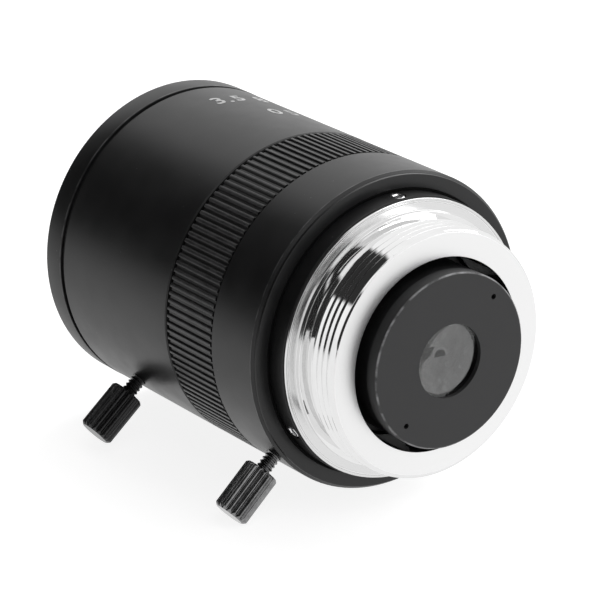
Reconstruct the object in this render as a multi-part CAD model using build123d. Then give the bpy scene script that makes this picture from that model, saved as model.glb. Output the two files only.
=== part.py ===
from build123d import *
from math import atan2, copysign, cos, degrees, hypot, radians, sin, sqrt
import os

# A manual varifocal lens for a security camera, in millimetres.
# The optical axis is Y: the mount is at -Y, the front glass at +Y, and +Z is up.
# The origin is the middle of the flange seat. Angles are about +Y, from +Z towards +X.

# Fits
RUNNING = 0.06          # radial, between pieces that turn or slide in each other
SNUG = 0.02             # radial, between pieces that are screwed or pressed together
FREE = 0.3              # between faces that pass each other
GAP = 0.15              # the dark line between two rings

# Mount ring, chromed. The thread's radius sets the other radii of the lens, through their walls.
THREAD_R = 12.7
THREAD_LENGTH = 3.4
MOUNT_FACE_Y = -5.2
MOUNT_CHAMFER = 0.4
MOUNT_WALL = 2.81
UNDERCUT_DEPTH = 0.7
UNDERCUT_RAMP = 0.2
BOSS_STEP = 0.35        # of the boss outside the thread
BOSS_HEIGHT = 0.5
FLANGE_INSET = 0.13     # of the flange inside the collar
FLANGE_THICK = 0.35
SPIGOT_STEP = 0.1       # of the spigot inside the thread
SPIGOT_LENGTH = 3.2
SPIGOT_WALL = 1.4

# Grub screws in the collar
GRUB_COUNT = 3
GRUB_R = 0.8
GRUB_SINK = 0.15        # of its outer end below the collar's surface
GRUB_Y = 1.3
GRUB_GROOVE_DEPTH = 0.4
GRUB_GROOVE_ROOM = 0.05  # between the screw's side and the groove's
GRUB_SOCKET_R = 0.4
GRUB_SOCKET_DEPTH = 0.9

# Base barrel
COLLAR_WALL = 1.78
LIP_Y = 2.5
LIP_LENGTH = 1.0
LIP_HEIGHT = 0.8
LIP_SET_BACK = 0.1      # of the lip's rear face behind the zoom ring's
TUBE_BORE_STEP = 0.68   # of the tube's bore outside the spigot's
TUBE_WALL = 1.2
TUBE_SET_BACK = 3.5     # of the tube's end behind the focus ring's
GUIDE_WALL = 0.85
GUIDE_REAR_Y = 1.2
WEB_Y = 9.0
WEB_THICK = 1.2
SPIGOT_STOP = 0.4       # the ledge that the mount ring's spigot can reach

# Outer rings
RING_WALL = 1.78
ZOOM_RING_LENGTH = 6.9
ZOOM_RING_CHAMFER = 0.25
JOINT_CHAMFER = 0.12     # of the rings' edges where one meets the next
IRIS_RING_LENGTH = 7.7
KNURL_COUNT = 130
KNURL_DEPTH = 0.35
KNURL_CREST = 0.3       # width of a ridge at its top
KNURL_ROOT = 0.42       # width of a ridge at its foot
FOCUS_RING_LENGTH = 19.0
RETAINER_WALL = 0.63
RETAINER_LENGTH = 2.0
RETAINER_BACK = 1.0     # of the retainer's front face from the tube's end
BEZEL_LENGTH = 3.26
BEZEL_PROUD = 0.03      # of the bezel outside the focus ring
BEZEL_GROOVE_DEPTH = 0.4
BEZEL_GROOVE_WIDTH = 0.45
BEZEL_SPIGOT_STEP = 0.45  # of the bezel's spigot outside the retainer
BEZEL_SPIGOT_LENGTH = 1.6
BEZEL_SPIGOT_WALL = 0.6
EDGE_CHAMFER = 0.2

# Thumb screws
ZOOM_LOCK_ANGLE = -133
FOCUS_LOCK_ANGLE = -130.5
LOCK_STEM_R = 0.82
LOCK_KNOB_R = 1.85
LOCK_KNOB_LIFT = 1.86   # of the knob above the ring
LOCK_KNOB_LENGTH = 5.4
LOCK_KNOB_CHAMFER = 0.3
LOCK_FLUTES = 16
LOCK_FLUTE_DEPTH = 0.25
LOCK_FLUTE_WIDTH = 0.45
ZOOM_LOCK_AHEAD = 2.65  # of the zoom ring's rear face
FOCUS_LOCK_BACK = 8.0   # behind the focus ring's front face

# Cam followers and their grooves
PIN_COUNT = 3
PIN_R = 0.6
CAM_DEPTH = 0.75        # of a groove in the ring's inner wall
CAM_STEP = 10           # degrees of ring covered by one straight stretch of groove
CAM_LAP = 0.02          # by which two stretches run into each other
ZOOM_TURN = 70
ZOOM_TRAVEL = 3.8
ZOOM_PIN_AHEAD = 2.0    # of the zoom ring's rear face
FOCUS_TURN = 80
FOCUS_TRAVEL = 1.8
FOCUS_PIN_AHEAD = 1.7   # of the front cell's rear end

# Rear group
REAR_CELL_GAP = 0.99    # round the cell inside the mount ring
REAR_CELL_WALL = 1.1
REAR_CELL_FRONT_Y = 6.0
REAR_CELL_LIP = 0.8
REAR_CELL_LEDGE = 1.4   # width of the ledge that the rear glass rests on
REAR_CAP_STEP = 0.02    # of the cap outside the cell
REAR_CAP_FACE_Y = -7.2
REAR_CAP_BEVEL = 0.14
REAR_CAP_THICK = 1.4
REAR_CAP_SPIGOT = 1.2
REAR_CAP_FACE_WIDTH = 5.17
LAST_LENS_SEAT = 1.45   # of the last glass outside the aperture
LAST_LENS_DOME = 0.7
LAST_LENS_SET_BACK = 0.12
LAST_LENS_FRONT_DOME = 0.4
SPANNER_HOLE_R = 0.28
SPANNER_HOLE_DEPTH = 0.8
SPANNER_INSET = 1.36    # of the two holes inside the cap's edge
SPANNER_ANGLE = 43.6    # of the line through the two holes
REAR_FRONT_EDGE = 1.8
REAR_FRONT_DOME = 0.75
REAR_FRONT_BACK_DOME = 0.9
REAR_SPACER_LENGTH = 1.6
SPACER_FOOT = 0.7
DOUBLET_DOME = 0.5
DOUBLET_FRONT_EDGE = 1.6
DOUBLET_JOINT_DOME = 1.9
DOUBLET_BACK_EDGE = 1.3
DOUBLET_BACK_DOME = 1.6
GLASS_LAND = 1.2        # flat rim of a glass under its spacer

# Iris
BLADE_COUNT = 6
BLADE_THICK = 0.08
BLADE_PITCH = 0.12      # from one blade's layer to the next
BLADE_WIDTH = 2.7
BLADE_START = -5        # degrees from the pivot to the blade's two ends
BLADE_SPAN = 125
BLADE_TURN = 28
BLADE_PIVOT_INSET = 2.7  # of the pivots inside the barrel's bore
BLADE_PIVOT_REACH = 1.3  # of the pivots outside the blade's arc
BLADE_PIVOT_R = 0.4
BLADE_LUG_R = 0.95
BLADE_ARM = 2.6
BLADE_ARM_WIDTH = 1.5
BLADE_DRIVE_PIN_R = 0.35
IRIS_TURN = 42
IRIS_PLATE_THICK = 0.7
IRIS_OPENING_STEP = 0.1  # of the plate's opening inside the open blades
IRIS_ROOM = 0.2         # between the blades and what is on each side of them
DRIVE_RING_THICK = 1.5
DRIVE_RING_WIDTH = 4.64
DRIVE_PIN_REACH = 1.0   # of a blade's pin into the drive ring
DRIVE_SLOT_STEPS = 7
LEVER_R = 0.5
LEVER_SEAT = 1.5        # of the lever pin in the drive ring
COVER_LENGTH = 1.0
COVER_WIDTH = 1.1

# Front group
FRONT_CELL_LENGTH = 10.5
FRONT_CELL_WALL = 4.04
FRONT_CELL_LIP_WIDTH = 1.6
FRONT_CELL_LIP = 1.0
FRONT_CELL_SKIRT = 1.1
FRONT_CELL_CORE = 1.2
FRONT_CELL_RELIEF = 7.5
FRONT_HEAD_GAP = 0.4    # round the head inside the bezel
FRONT_HEAD_WALL = 0.68
FRONT_HEAD_LENGTH = 3.0
FRONT_SEAT = 0.6        # of the front glass, ahead of the head's rear face
FRONT_LENS_STEP = 1.7   # of the front glass inside its ring
FRONT_LENS_EDGE = 1.7
FRONT_LENS_DOME = 2.2
FRONT_LENS_HOLLOW = 2.7
FRONT_LENS_LAND = 4.6   # flat rim behind the front glass
FRONT_RING_OVERLAP = 0.7
FRONT_RING_THICK = 1.3
FRONT_RING_THIN = 0.4
INNER_LENS_EDGE = 3.0
INNER_LENS_BACK_DOME = 0.8
INNER_LENS_DOME = 1.2
FRONT_SPACER_LENGTH = 1.9
MIDDLE_LENS_EDGE = 2.2
MIDDLE_LENS_BACK_HOLLOW = 0.5
MIDDLE_LENS_HOLLOW = 0.7
INNER_LOCK_LENGTH = 1.2

# Places worked out from the above
EPS = 0.5               # how far a cutting tool passes the face that it cuts
MOUNT_BORE_R = THREAD_R - MOUNT_WALL
UNDERCUT_R = THREAD_R - UNDERCUT_DEPTH
BOSS_R = THREAD_R + BOSS_STEP
SPIGOT_R = THREAD_R - SPIGOT_STEP
SPIGOT_BORE_R = SPIGOT_R - SPIGOT_WALL
COLLAR_R = SPIGOT_R + SNUG + COLLAR_WALL
FLANGE_R = COLLAR_R - FLANGE_INSET
TUBE_BORE_R = SPIGOT_R + SNUG + TUBE_BORE_STEP
TUBE_R = TUBE_BORE_R + TUBE_WALL
LIP_R = TUBE_R + LIP_HEIGHT
RING_BORE_R = TUBE_R + RUNNING
RING_R = RING_BORE_R + RING_WALL
RETAINER_R = TUBE_R + SNUG + RETAINER_WALL
BEZEL_R = RING_R + BEZEL_PROUD
BEZEL_SPIGOT_R = RETAINER_R + BEZEL_SPIGOT_STEP
BEZEL_BORE_R = BEZEL_SPIGOT_R - BEZEL_SPIGOT_WALL
REAR_CELL_R = MOUNT_BORE_R - REAR_CELL_GAP
REAR_CELL_BORE_R = REAR_CELL_R - REAR_CELL_WALL
REAR_CLEAR_R = REAR_CELL_BORE_R - REAR_CELL_LEDGE
REAR_CAP_R = REAR_CELL_R + REAR_CAP_STEP
REAR_APERTURE_R = REAR_CAP_R - REAR_CAP_FACE_WIDTH
LAST_LENS_R = REAR_APERTURE_R + LAST_LENS_SEAT
SPANNER_CIRCLE_R = REAR_CAP_R - SPANNER_INSET
BLADE_PIVOT_CIRCLE_R = TUBE_BORE_R - BLADE_PIVOT_INSET
BLADE_OUT_R = BLADE_PIVOT_CIRCLE_R - BLADE_PIVOT_REACH
BLADE_IN_R = BLADE_OUT_R - BLADE_WIDTH
IRIS_OPENING_R = BLADE_IN_R - IRIS_OPENING_STEP
FRONT_HEAD_R = BEZEL_BORE_R - FRONT_HEAD_GAP
FRONT_RING_R = FRONT_HEAD_R - FRONT_HEAD_WALL - SNUG
FRONT_LENS_R = FRONT_RING_R - FRONT_LENS_STEP
FRONT_LENS_HOLLOW_R = FRONT_LENS_R - FRONT_LENS_LAND
LOCK_KNOB_START = RING_R + LOCK_KNOB_LIFT
COLLAR_Y = FLANGE_THICK
SPIGOT_END_Y = COLLAR_Y + SPIGOT_LENGTH
GUIDE_BORE_R = REAR_CELL_R + RUNNING
ZOOM_RING_Y = LIP_Y + LIP_SET_BACK
ZOOM_RING_END_Y = ZOOM_RING_Y + ZOOM_RING_LENGTH
IRIS_RING_Y = ZOOM_RING_END_Y + GAP
IRIS_RING_END_Y = IRIS_RING_Y + IRIS_RING_LENGTH
FOCUS_RING_Y = IRIS_RING_END_Y + GAP
FOCUS_RING_END_Y = FOCUS_RING_Y + FOCUS_RING_LENGTH
TUBE_END_Y = FOCUS_RING_END_Y - TUBE_SET_BACK
ZOOM_LOCK_Y = ZOOM_RING_Y + ZOOM_LOCK_AHEAD
FOCUS_LOCK_Y = FOCUS_RING_END_Y - FOCUS_LOCK_BACK
ZOOM_PIN_Y = ZOOM_RING_Y + ZOOM_PIN_AHEAD
CAM_FLOOR_R = RING_BORE_R + CAM_DEPTH
RETAINER_FRONT_Y = TUBE_END_Y - RETAINER_BACK
RETAINER_Y = RETAINER_FRONT_Y - RETAINER_LENGTH
IRIS_PLATE_Y = WEB_Y + WEB_THICK
BLADES_Y = IRIS_PLATE_Y + IRIS_PLATE_THICK + IRIS_ROOM
DRIVE_RING_Y = BLADES_Y + BLADE_COUNT * BLADE_PITCH + IRIS_ROOM
DRIVE_RING_R = TUBE_BORE_R - RUNNING
DRIVE_RING_BORE_R = DRIVE_RING_R - DRIVE_RING_WIDTH
COVER_Y = DRIVE_RING_Y + DRIVE_RING_THICK + RUNNING
LEVER_Y = DRIVE_RING_Y + DRIVE_RING_THICK / 2
REAR_GLASS_R = REAR_CELL_BORE_R - SNUG
REAR_CAP_BACK_Y = REAR_CAP_FACE_Y + REAR_CAP_THICK
REAR_STACK_Y = REAR_CELL_FRONT_Y - REAR_CELL_LIP
REAR_SPACER_END_Y = REAR_STACK_Y - REAR_FRONT_EDGE
REAR_SPACER_Y = REAR_SPACER_END_Y - REAR_SPACER_LENGTH
DOUBLET_JOINT_Y = REAR_SPACER_Y - DOUBLET_FRONT_EDGE
DOUBLET_BACK_Y = DOUBLET_JOINT_Y - DOUBLET_BACK_EDGE
LAST_LENS_FRONT_Y = REAR_CAP_BACK_Y + REAR_CAP_SPIGOT
LAST_LENS_RIM_Y = REAR_CAP_FACE_Y + LAST_LENS_SET_BACK + LAST_LENS_DOME
FRONT_CELL_END_Y = TUBE_END_Y + FREE
FRONT_CELL_Y = FRONT_CELL_END_Y - FRONT_CELL_LENGTH
FOCUS_PIN_Y = FRONT_CELL_Y + FOCUS_PIN_AHEAD
FRONT_CELL_R = TUBE_BORE_R - RUNNING
FRONT_CELL_BORE_R = FRONT_CELL_R - FRONT_CELL_WALL
FRONT_CELL_LIP_R = FRONT_CELL_BORE_R - FRONT_CELL_LIP_WIDTH
FRONT_SEAT_Y = FRONT_CELL_END_Y + FRONT_SEAT
FRONT_RIM_Y = FRONT_SEAT_Y + FRONT_LENS_EDGE
FRONT_GLASS_R = FRONT_CELL_BORE_R - SNUG
FRONT_LAND_R = FRONT_GLASS_R - GLASS_LAND
INNER_LENS_Y = FRONT_CELL_Y + FRONT_CELL_LIP
FRONT_SPACER_Y = INNER_LENS_Y + INNER_LENS_EDGE
MIDDLE_LENS_Y = FRONT_SPACER_Y + FRONT_SPACER_LENGTH
INNER_LOCK_Y = MIDDLE_LENS_Y + MIDDLE_LENS_EDGE


def evenly(count, first=0):
    """Angles evenly round the axis."""
    return [first + 360 * i / count for i in range(count)]


def turned(*corners):
    """A turned piece from its (radius, y) corners."""
    return revolve(make_face(Polyline(*corners, close=True)), Axis.Y)


def tube(bore, outside, start, end):
    """A plain ring or tube."""
    return turned((bore, start), (outside, start), (outside, end), (bore, end))


def across(y):
    """The plane across the axis at y, whose first direction is +Z and second is +X."""
    return Plane(origin=(0, y, 0), x_dir=(0, 0, 1), z_dir=(0, 1, 0))


def outward(angle, y, radius=0):
    """A place whose own Z points straight out from the axis, and whose X is +Y."""
    out = (sin(radians(angle)), 0, cos(radians(angle)))
    origin = (out[0] * radius, y, out[2] * radius)
    return Plane(origin=origin, x_dir=(0, 1, 0), z_dir=out).location


def radial_pin(angle, y, radius, start, end):
    """A pin that points outwards, between two distances from the axis."""
    low = (Align.CENTER, Align.CENTER, Align.MIN)
    return outward(angle, y, start) * Cylinder(radius, end - start, align=low)


def radial_slot(angle, start_y, end_y, width, start, end):
    """A slot along the axis with round ends, as a cutting tool."""
    outline = SlotOverall(end_y - start_y + width, width)
    return outward(angle, (start_y + end_y) / 2, start) * extrude(outline, end - start)


def sector(bore, outside, start, end):
    """A stretch of a flat ring between two angles."""
    inner = CenterArc((0, 0), bore, start, end - start)
    outer = CenterArc((0, 0), outside, start, end - start)
    return make_face([inner, outer, Line(inner @ 0, outer @ 0), Line(inner @ 1, outer @ 1)])


def star(count, outside, depth, width):
    """A round outline with V-shaped flutes, as its corner points."""
    points = []
    mouth = degrees(width / outside)
    for angle in evenly(count):
        for turn, radius in ((-mouth / 2, outside), (0, outside - depth), (mouth / 2, outside)):
            a = radians(angle + turn)
            points.append((radius * cos(a), radius * sin(a)))
    return points


def glass_y(rim_y, dome, clear, radius):
    """Where a spherical glass surface lies; it passes rim_y at clear and rim_y + dome on the axis."""
    curve = -(clear ** 2 + dome ** 2) / (2 * dome)
    return rim_y + dome + curve - copysign(sqrt(curve ** 2 - radius ** 2), curve)


def glass(edge, rear, front):
    """A lens element. Each surface is (rim y, dome towards +Y, clear radius), flat outside it."""
    outline = []
    for rim_y, dome, clear in (rear, front):
        stations = [(clear * k / 2, glass_y(rim_y, dome, clear, clear * k / 2)) for k in range(3)]
        outline.append(ThreePointArc(*stations))
        if clear < edge:
            outline.append(Line((clear, rim_y), (edge, rim_y)))
    outline.append(Line((0, rear[0] + rear[1]), (0, front[0] + front[1])))
    outline.append(Line((edge, rear[0]), (edge, front[0])))
    return revolve(make_face(outline), Axis.Y)


def pin_angles(lock_angle, turn):
    """Where a cell's followers are: the thumb screw is midway between two of their grooves."""
    return evenly(PIN_COUNT, lock_angle - (360 / PIN_COUNT - turn) / 2)


def cam_groove(angle, y, turn, travel):
    """The helical groove that one follower runs in, cut into a ring's inner wall."""
    width = 2 * (PIN_R + RUNNING)
    depth = CAM_DEPTH + EPS
    steps = round(turn / CAM_STEP)
    arc = radians(turn / steps) * CAM_FLOOR_R
    rise = travel / steps
    high = (Align.CENTER, Align.CENTER, Align.MAX)
    cutters = []
    for k in range(steps):
        place = outward(angle - turn * (k + 0.5) / steps, y + travel * (k + 0.5) / steps, CAM_FLOOR_R)
        stretch = Box(width, hypot(arc, rise) + CAM_LAP, depth, align=high)
        cutters.append(place * Rot(0, 0, -degrees(atan2(rise, arc))) * stretch)
    for end in (0, 1):
        place = outward(angle - turn * end, y + travel * end, CAM_FLOOR_R)
        cutters.append(place * Cylinder(width / 2, depth, align=high))
    return cutters


def lock_hole(angle, y):
    """The threaded hole for a thumb screw through a ring's wall."""
    return radial_pin(angle, y, LOCK_STEM_R + SNUG, TUBE_R - EPS, RING_R + EPS)


def drive_pins(lock_angle, turn, y, start):
    """The followers of one cell."""
    end = CAM_FLOOR_R - RUNNING
    return [radial_pin(a, y, PIN_R, start, end) for a in pin_angles(lock_angle, turn)]


def blade_pin_place(turned_by):
    """Where the first blade's drive pin is with the blade turned, as (radius, angle)."""
    swing = radians(turned_by - 90)
    z = BLADE_PIVOT_CIRCLE_R + BLADE_ARM * cos(swing)
    x = BLADE_ARM * sin(swing)
    return hypot(z, x), degrees(atan2(x, z))


def lever_angle():
    """The lever pin is midway between two slots of the drive ring."""
    near = blade_pin_place(0)[1]
    far = blade_pin_place(BLADE_TURN)[1] - IRIS_TURN + 360 / BLADE_COUNT
    return (near + far) / 2


def mount_ring():
    """Chromed ring with the camera thread, the seat flange and the spigot."""
    thread_y = MOUNT_FACE_Y + MOUNT_CHAMFER
    thread_end = thread_y + THREAD_LENGTH
    groove_r = SPIGOT_R - GRUB_GROOVE_DEPTH
    half_groove = GRUB_R + GRUB_GROOVE_ROOM
    return turned(
        (MOUNT_BORE_R, MOUNT_FACE_Y), (THREAD_R - MOUNT_CHAMFER, MOUNT_FACE_Y),
        (THREAD_R, thread_y), (THREAD_R, thread_end),
        (UNDERCUT_R, thread_end + UNDERCUT_RAMP), (UNDERCUT_R, -BOSS_HEIGHT),
        (BOSS_R, -BOSS_HEIGHT), (BOSS_R, 0), (FLANGE_R, 0), (FLANGE_R, COLLAR_Y),
        (SPIGOT_R, COLLAR_Y), (groove_r, GRUB_Y - half_groove), (groove_r, GRUB_Y + half_groove),
        (SPIGOT_R, GRUB_Y + half_groove), (SPIGOT_R, SPIGOT_END_Y),
        (SPIGOT_BORE_R, SPIGOT_END_Y), (SPIGOT_BORE_R, COLLAR_Y), (MOUNT_BORE_R, COLLAR_Y),
    )


def mount_set_screws():
    """Three grub screws, which clamp the mount ring's spigot."""
    start = SPIGOT_R - GRUB_GROOVE_DEPTH
    end = COLLAR_R - GRUB_SINK
    socket = extrude(RegularPolygon(GRUB_SOCKET_R, 6), -GRUB_SOCKET_DEPTH)
    return [
        radial_pin(a, GRUB_Y, GRUB_R, start, end) - outward(a, GRUB_Y, end) * socket
        for a in evenly(GRUB_COUNT)
    ]


def base_barrel():
    """The fixed barrel: collar, lip, long tube, web and rear guide tube."""
    guide_r = GUIDE_BORE_R + GUIDE_WALL
    spigot_bore = SPIGOT_R + SNUG
    lip_end = LIP_Y + LIP_LENGTH
    body = turned(
        (spigot_bore, COLLAR_Y), (COLLAR_R, COLLAR_Y), (COLLAR_R, LIP_Y), (LIP_R, LIP_Y),
        (LIP_R, lip_end), (TUBE_R, lip_end), (TUBE_R, TUBE_END_Y), (TUBE_BORE_R, TUBE_END_Y),
        (TUBE_BORE_R, IRIS_PLATE_Y), (GUIDE_BORE_R, IRIS_PLATE_Y), (GUIDE_BORE_R, GUIDE_REAR_Y),
        (guide_r, GUIDE_REAR_Y), (guide_r, WEB_Y), (spigot_bore - SPIGOT_STOP, WEB_Y),
        (spigot_bore - SPIGOT_STOP, SPIGOT_END_Y), (spigot_bore, SPIGOT_END_Y),
    )
    width = 2 * (PIN_R + RUNNING)
    cutters = [
        radial_slot(a, ZOOM_PIN_Y, ZOOM_PIN_Y + ZOOM_TRAVEL, width, REAR_CELL_R - EPS, TUBE_R + EPS)
        for a in pin_angles(ZOOM_LOCK_ANGLE, ZOOM_TURN)
    ]
    cutters += [
        radial_slot(a, FOCUS_PIN_Y, FOCUS_PIN_Y + FOCUS_TRAVEL, width, TUBE_BORE_R - EPS, TUBE_R + EPS)
        for a in pin_angles(FOCUS_LOCK_ANGLE, FOCUS_TURN)
    ]
    cutters += [
        radial_pin(a, GRUB_Y, GRUB_R + SNUG, SPIGOT_R - EPS, COLLAR_R + EPS) for a in evenly(GRUB_COUNT)
    ]
    half = degrees((LEVER_R + FREE) / TUBE_BORE_R)
    high = LEVER_R + FREE / 2
    window = sector(TUBE_BORE_R - EPS, TUBE_R + EPS, lever_angle() - half, lever_angle() + IRIS_TURN + half)
    cutters.append(extrude(across(LEVER_Y - high) * window, 2 * high))
    return body - cutters


def zoom_ring():
    """Rear smooth ring; it turns on the barrel in front of the lip."""
    lip_bore = LIP_R + RUNNING
    lip_end = LIP_Y + LIP_LENGTH + RUNNING
    ring = turned(
        (lip_bore, ZOOM_RING_Y), (RING_R - ZOOM_RING_CHAMFER, ZOOM_RING_Y),
        (RING_R, ZOOM_RING_Y + ZOOM_RING_CHAMFER), (RING_R, ZOOM_RING_END_Y - JOINT_CHAMFER),
        (RING_R - JOINT_CHAMFER, ZOOM_RING_END_Y), (RING_BORE_R, ZOOM_RING_END_Y),
        (RING_BORE_R, lip_end), (lip_bore, lip_end),
    )
    cutters = [lock_hole(ZOOM_LOCK_ANGLE, ZOOM_LOCK_Y)]
    for angle in pin_angles(ZOOM_LOCK_ANGLE, ZOOM_TURN):
        cutters += cam_groove(angle, ZOOM_PIN_Y, ZOOM_TURN, ZOOM_TRAVEL)
    return ring - cutters


def iris_ring():
    """Middle ring with straight ridges all round."""
    outline = []
    foot = RING_R - KNURL_DEPTH
    for angle in evenly(KNURL_COUNT):
        for half, radius in (
            (-KNURL_ROOT / 2, foot), (-KNURL_CREST / 2, RING_R),
            (KNURL_CREST / 2, RING_R), (KNURL_ROOT / 2, foot),
        ):
            a = radians(angle) + half / RING_R
            outline.append((radius * cos(a), radius * sin(a)))
    ring = extrude(across(IRIS_RING_Y) * make_face(Polyline(*outline, close=True)), IRIS_RING_LENGTH)
    bore = tube(0, RING_BORE_R, IRIS_RING_Y - EPS, IRIS_RING_END_Y + EPS)
    lever_hole = radial_pin(lever_angle(), LEVER_Y, LEVER_R + SNUG, TUBE_R - EPS, CAM_FLOOR_R)
    return ring - [bore, lever_hole]


def focus_ring():
    """Long front ring; a shoulder inside it runs behind the retainer ring."""
    shoulder = RETAINER_Y - RUNNING
    wide_bore = RETAINER_R + RUNNING
    spigot_bore = BEZEL_SPIGOT_R + SNUG
    spigot_y = FOCUS_RING_END_Y - BEZEL_SPIGOT_LENGTH
    ring = turned(
        (RING_BORE_R, FOCUS_RING_Y), (RING_R - JOINT_CHAMFER, FOCUS_RING_Y),
        (RING_R, FOCUS_RING_Y + JOINT_CHAMFER), (RING_R, FOCUS_RING_END_Y - EDGE_CHAMFER),
        (RING_R - EDGE_CHAMFER, FOCUS_RING_END_Y),
        (spigot_bore, FOCUS_RING_END_Y), (spigot_bore, spigot_y),
        (wide_bore, spigot_y), (wide_bore, shoulder), (RING_BORE_R, shoulder),
    )
    cutters = [lock_hole(FOCUS_LOCK_ANGLE, FOCUS_LOCK_Y)]
    for angle in pin_angles(FOCUS_LOCK_ANGLE, FOCUS_TURN):
        cutters += cam_groove(angle, FOCUS_PIN_Y, FOCUS_TURN, FOCUS_TRAVEL)
    return ring - cutters


def front_bezel():
    """Front ring, screwed into the focus ring, open ahead of the front glass."""
    start = FOCUS_RING_END_Y
    end = start + BEZEL_LENGTH
    groove_r = BEZEL_R - BEZEL_GROOVE_DEPTH
    groove_end = start + BEZEL_GROOVE_WIDTH
    return turned(
        (BEZEL_BORE_R, start - BEZEL_SPIGOT_LENGTH), (BEZEL_SPIGOT_R, start - BEZEL_SPIGOT_LENGTH),
        (BEZEL_SPIGOT_R, start), (groove_r, start), (groove_r, groove_end), (BEZEL_R, groove_end),
        (BEZEL_R, end - EDGE_CHAMFER), (BEZEL_R - EDGE_CHAMFER, end), (BEZEL_BORE_R + EDGE_CHAMFER, end),
        (BEZEL_BORE_R, end - EDGE_CHAMFER),
    )


def lock_screw(angle, y):
    """A thumb screw with a fluted head; its tip ends just above the barrel."""
    low = (Align.CENTER, Align.CENTER, Align.MIN)
    outline = Polyline(*star(LOCK_FLUTES, LOCK_KNOB_R, LOCK_FLUTE_DEPTH, LOCK_FLUTE_WIDTH), close=True)
    fluted = extrude(make_face(outline), LOCK_KNOB_LENGTH)
    blank = Cylinder(LOCK_KNOB_R, LOCK_KNOB_LENGTH, align=low)
    blank = chamfer(blank.edges(), LOCK_KNOB_CHAMFER)
    stem = radial_pin(angle, y, LOCK_STEM_R, TUBE_R + RUNNING, LOCK_KNOB_START + EPS)
    return outward(angle, y, LOCK_KNOB_START) * (fluted & blank) + stem


def rear_cap():
    """Black cap with the rear aperture and two spanner holes."""
    ledge = glass_y(LAST_LENS_RIM_Y, -LAST_LENS_DOME, LAST_LENS_R, REAR_APERTURE_R) - SNUG
    seat_r = LAST_LENS_R + SNUG
    cap = turned(
        (REAR_APERTURE_R, REAR_CAP_FACE_Y), (REAR_CAP_R - REAR_CAP_BEVEL, REAR_CAP_FACE_Y),
        (REAR_CAP_R, REAR_CAP_FACE_Y + REAR_CAP_BEVEL), (REAR_CAP_R, REAR_CAP_BACK_Y),
        (REAR_GLASS_R, REAR_CAP_BACK_Y), (REAR_GLASS_R, LAST_LENS_FRONT_Y),
        (seat_r, LAST_LENS_FRONT_Y), (seat_r, ledge), (REAR_APERTURE_R, ledge),
    )
    low = (Align.CENTER, Align.CENTER, Align.MIN)
    drill = Cylinder(SPANNER_HOLE_R, SPANNER_HOLE_DEPTH + EPS, align=low)
    hole = across(REAR_CAP_FACE_Y).location * Pos(SPANNER_CIRCLE_R, 0, -EPS) * drill
    return cap - [Rot(0, a, 0) * hole for a in evenly(2, SPANNER_ANGLE)]


def rear_cell():
    """Sliding tube that holds the rear glass; the followers are screwed into it."""
    cell = turned(
        (REAR_CELL_BORE_R, REAR_CAP_BACK_Y), (REAR_CELL_R, REAR_CAP_BACK_Y),
        (REAR_CELL_R, REAR_CELL_FRONT_Y), (REAR_CLEAR_R, REAR_CELL_FRONT_Y),
        (REAR_CLEAR_R, REAR_STACK_Y), (REAR_CELL_BORE_R, REAR_STACK_Y),
    )
    holes = [
        radial_pin(a, ZOOM_PIN_Y, PIN_R, REAR_CELL_BORE_R - EPS, REAR_CELL_R + EPS)
        for a in pin_angles(ZOOM_LOCK_ANGLE, ZOOM_TURN)
    ]
    return cell - holes


def rear_spacer_back():
    """Spacer from the doublet to the last glass, with a foot that holds that glass."""
    land_r = REAR_GLASS_R - GLASS_LAND
    foot_r = LAST_LENS_R - GLASS_LAND / 2
    foot_y = LAST_LENS_FRONT_Y + SPACER_FOOT
    return turned(
        (foot_r, LAST_LENS_FRONT_Y), (REAR_GLASS_R, LAST_LENS_FRONT_Y),
        (REAR_GLASS_R, DOUBLET_BACK_Y), (land_r, DOUBLET_BACK_Y), (land_r, foot_y), (foot_r, foot_y),
    )


def rear_glass():
    """The four rear elements; the middle two are cemented together."""
    clear = REAR_GLASS_R - GLASS_LAND
    joint = (DOUBLET_JOINT_Y, -DOUBLET_JOINT_DOME, REAR_GLASS_R)
    last_clear = LAST_LENS_R - GLASS_LAND / 2
    return {
        "rear_lens_front": glass(
            REAR_GLASS_R, (REAR_SPACER_END_Y, -REAR_FRONT_BACK_DOME, clear),
            (REAR_STACK_Y, REAR_FRONT_DOME, REAR_CLEAR_R - SNUG),
        ),
        "rear_doublet_front": glass(REAR_GLASS_R, joint, (REAR_SPACER_Y, DOUBLET_DOME, clear)),
        "rear_doublet_back": glass(REAR_GLASS_R, (DOUBLET_BACK_Y, -DOUBLET_BACK_DOME, clear), joint),
        "rear_lens_last": glass(
            LAST_LENS_R, (LAST_LENS_RIM_Y, -LAST_LENS_DOME, LAST_LENS_R),
            (LAST_LENS_FRONT_Y, LAST_LENS_FRONT_DOME, last_clear),
        ),
    }


def iris_base_plate():
    """Plate with the six pivot holes of the blades."""
    plate = tube(IRIS_OPENING_R, TUBE_BORE_R - SNUG, IRIS_PLATE_Y, IRIS_PLATE_Y + IRIS_PLATE_THICK)
    drill = Cylinder(BLADE_PIVOT_R + RUNNING, 2 * IRIS_PLATE_THICK + EPS)
    hole = across(IRIS_PLATE_Y).location * Pos(BLADE_PIVOT_CIRCLE_R, 0, 0) * drill
    return plate - [Rot(0, a, 0) * hole for a in evenly(BLADE_COUNT)]


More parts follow.
